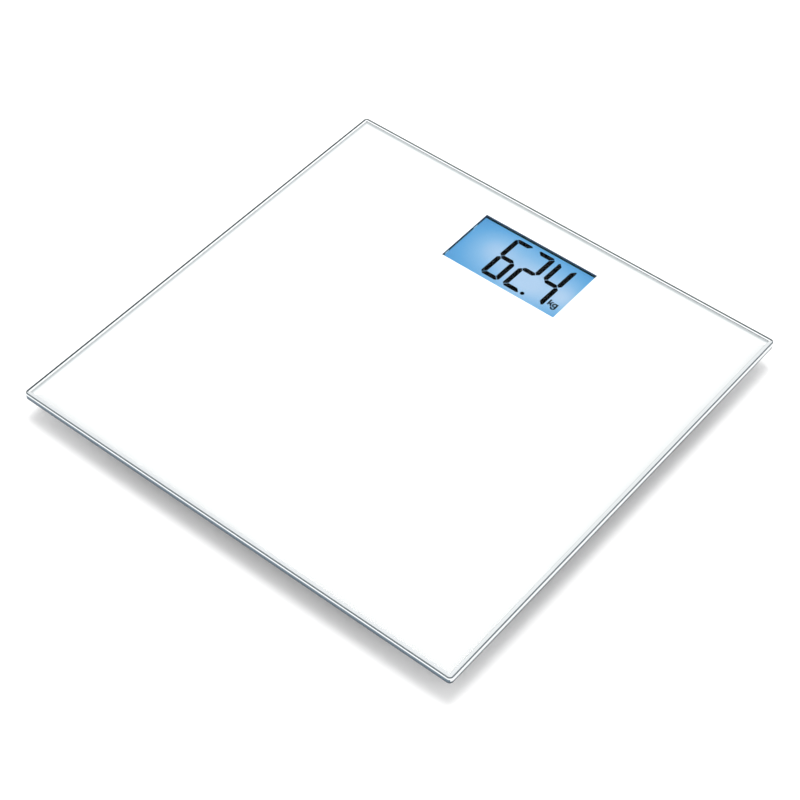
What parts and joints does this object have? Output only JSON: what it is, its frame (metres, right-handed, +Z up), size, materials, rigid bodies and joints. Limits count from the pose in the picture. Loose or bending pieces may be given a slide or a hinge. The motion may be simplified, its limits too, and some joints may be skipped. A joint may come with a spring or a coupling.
{
  "type": "bathroom scale",
  "caption": "Square glass bathroom scale with a back-lit digital weight display, sprung load-sensing feet, a unit button and a hinged battery door underneath.",
  "frame": {"origin": "on the floor under the middle of the square platform", "axes": "+Z up, +Y towards the platform edge that carries the display, +X to the right of a user who reads it"},
  "size_m": [0.3, 0.3, 0.018],
  "materials": {
    "clear_glass": "clear tempered float glass, polished edge",
    "white_print": "fired white enamel seen through the glass",
    "black_foam": "closed-cell foam",
    "display_glass": "thin clear display glass",
    "polariser": "satin film",
    "crystal_ink": "driven liquid crystal, nearly black",
    "blue_light": "blue back-lit light guide",
    "white_film": "white reflector film",
    "lamp": "clear-topped lamp",
    "grey_rubber": "moulded rubber",
    "board_green": "solder-masked laminate",
    "black_epoxy": "glossy potting drop",
    "chip_body": "small ceramic and moulded parts",
    "steel": "zinc-plated steel",
    "white_plastic": "fine-textured moulded plastic",
    "grey_plastic": "fine-textured moulded plastic",
    "black_plastic": "moulded plastic",
    "tape": "double-sided tissue tape",
    "cell_steel": "nickel-plated can",
    "gauge_foil": "copper foil on amber film",
    "sole_rubber": "soft non-slip sole",
    "wire_red": "insulated wires"
  },
  "bodies": {
    "scale": {"glass_platform": "clear_glass", "white_back_print": "white_print", "display_gasket": "black_foam", "lcd_front_polariser": "polariser", "lcd_front_glass": "display_glass", "lcd_segments": "crystal_ink", "lcd_rear_glass": "display_glass", "lcd_rear_polariser": "polariser", "backlight_diffuser": "white_film", "backlight_light_guide": "blue_light", "backlight_reflector": "white_film", "backlight_leds": "lamp", "lcd_contact_strip": "grey_rubber", "circuit_board": "board_green", "controller_chip": "black_epoxy", "chip_parts": "chip_body", "board_screws": "steel", "unit_switch_body": "black_plastic", "housing_tape": "tape", "housing_frame": "white_plastic", "housing_cover": "white_plastic", "housing_screws": "steel", "coin_cell_holder": "black_plastic", "coin_cell": "cell_steel", "cell_contact_negative": "steel", "cell_contact_positive": "steel", "strain_gauges": "gauge_foil", "foot_glue_front_left": "tape", "foot_housing_front_left": "white_plastic", "load_cell_front_left": "steel", "sensor_cable_front_left": "wire_red", "wire_cover_front_left": "white_plastic", "foot_glue_front_right": "tape", "foot_housing_front_right": "white_plastic", "load_cell_front_right": "steel", "sensor_cable_front_right": "wire_red", "wire_cover_front_right": "white_plastic", "foot_glue_rear_left": "tape", "foot_housing_rear_left": "white_plastic", "load_cell_rear_left": "steel", "sensor_cable_rear_left": "wire_red", "wire_cover_rear_left": "white_plastic", "foot_glue_rear_right": "tape", "foot_housing_rear_right": "white_plastic", "load_cell_rear_right": "steel", "sensor_cable_rear_right": "wire_red", "wire_cover_rear_right": "white_plastic"},
    "battery_door": {"battery_door": "white_plastic"},
    "unit_button": {"unit_button": "grey_plastic", "unit_switch_plunger": "black_plastic"},
    "foot_front_left": {"foot_cap_front_left": "white_plastic", "foot_pad_front_left": "sole_rubber"},
    "foot_front_right": {"foot_cap_front_right": "white_plastic", "foot_pad_front_right": "sole_rubber"},
    "foot_rear_left": {"foot_cap_rear_left": "white_plastic", "foot_pad_rear_left": "sole_rubber"},
    "foot_rear_right": {"foot_cap_rear_right": "white_plastic", "foot_pad_rear_right": "sole_rubber"}
  },
  "joints": [
    {"name": "battery_door_hinge", "type": "hinge", "parent": "scale", "child": "battery_door", "pos_m": [-0.0215, 0.0786, 0.0039], "axis": [1, 0, 0], "range_deg": [0, 80]},
    {"name": "unit_button_press", "type": "slide", "parent": "scale", "child": "unit_button", "axis": [0, 0, 1], "range_m": [0, 0.00035], "stiffness_N_per_m": 3000, "springref_m": -0.0003},
    {"name": "foot_front_left_press", "type": "slide", "parent": "scale", "child": "foot_front_left", "axis": [0, 0, 1], "range_m": [0, 0.0005], "stiffness_N_per_m": 1500, "springref_m": -0.0025, "deforming": ["load_cell_front_left"]},
    {"name": "foot_front_right_press", "type": "slide", "parent": "scale", "child": "foot_front_right", "axis": [0, 0, 1], "range_m": [0, 0.0005], "stiffness_N_per_m": 1500, "springref_m": -0.0025, "deforming": ["load_cell_front_right"]},
    {"name": "foot_rear_left_press", "type": "slide", "parent": "scale", "child": "foot_rear_left", "axis": [0, 0, 1], "range_m": [0, 0.0005], "stiffness_N_per_m": 1500, "springref_m": -0.0025, "deforming": ["load_cell_rear_left"]},
    {"name": "foot_rear_right_press", "type": "slide", "parent": "scale", "child": "foot_rear_right", "axis": [0, 0, 1], "range_m": [0, 0.0005], "stiffness_N_per_m": 1500, "springref_m": -0.0025, "deforming": ["load_cell_rear_right"]}
  ]
}
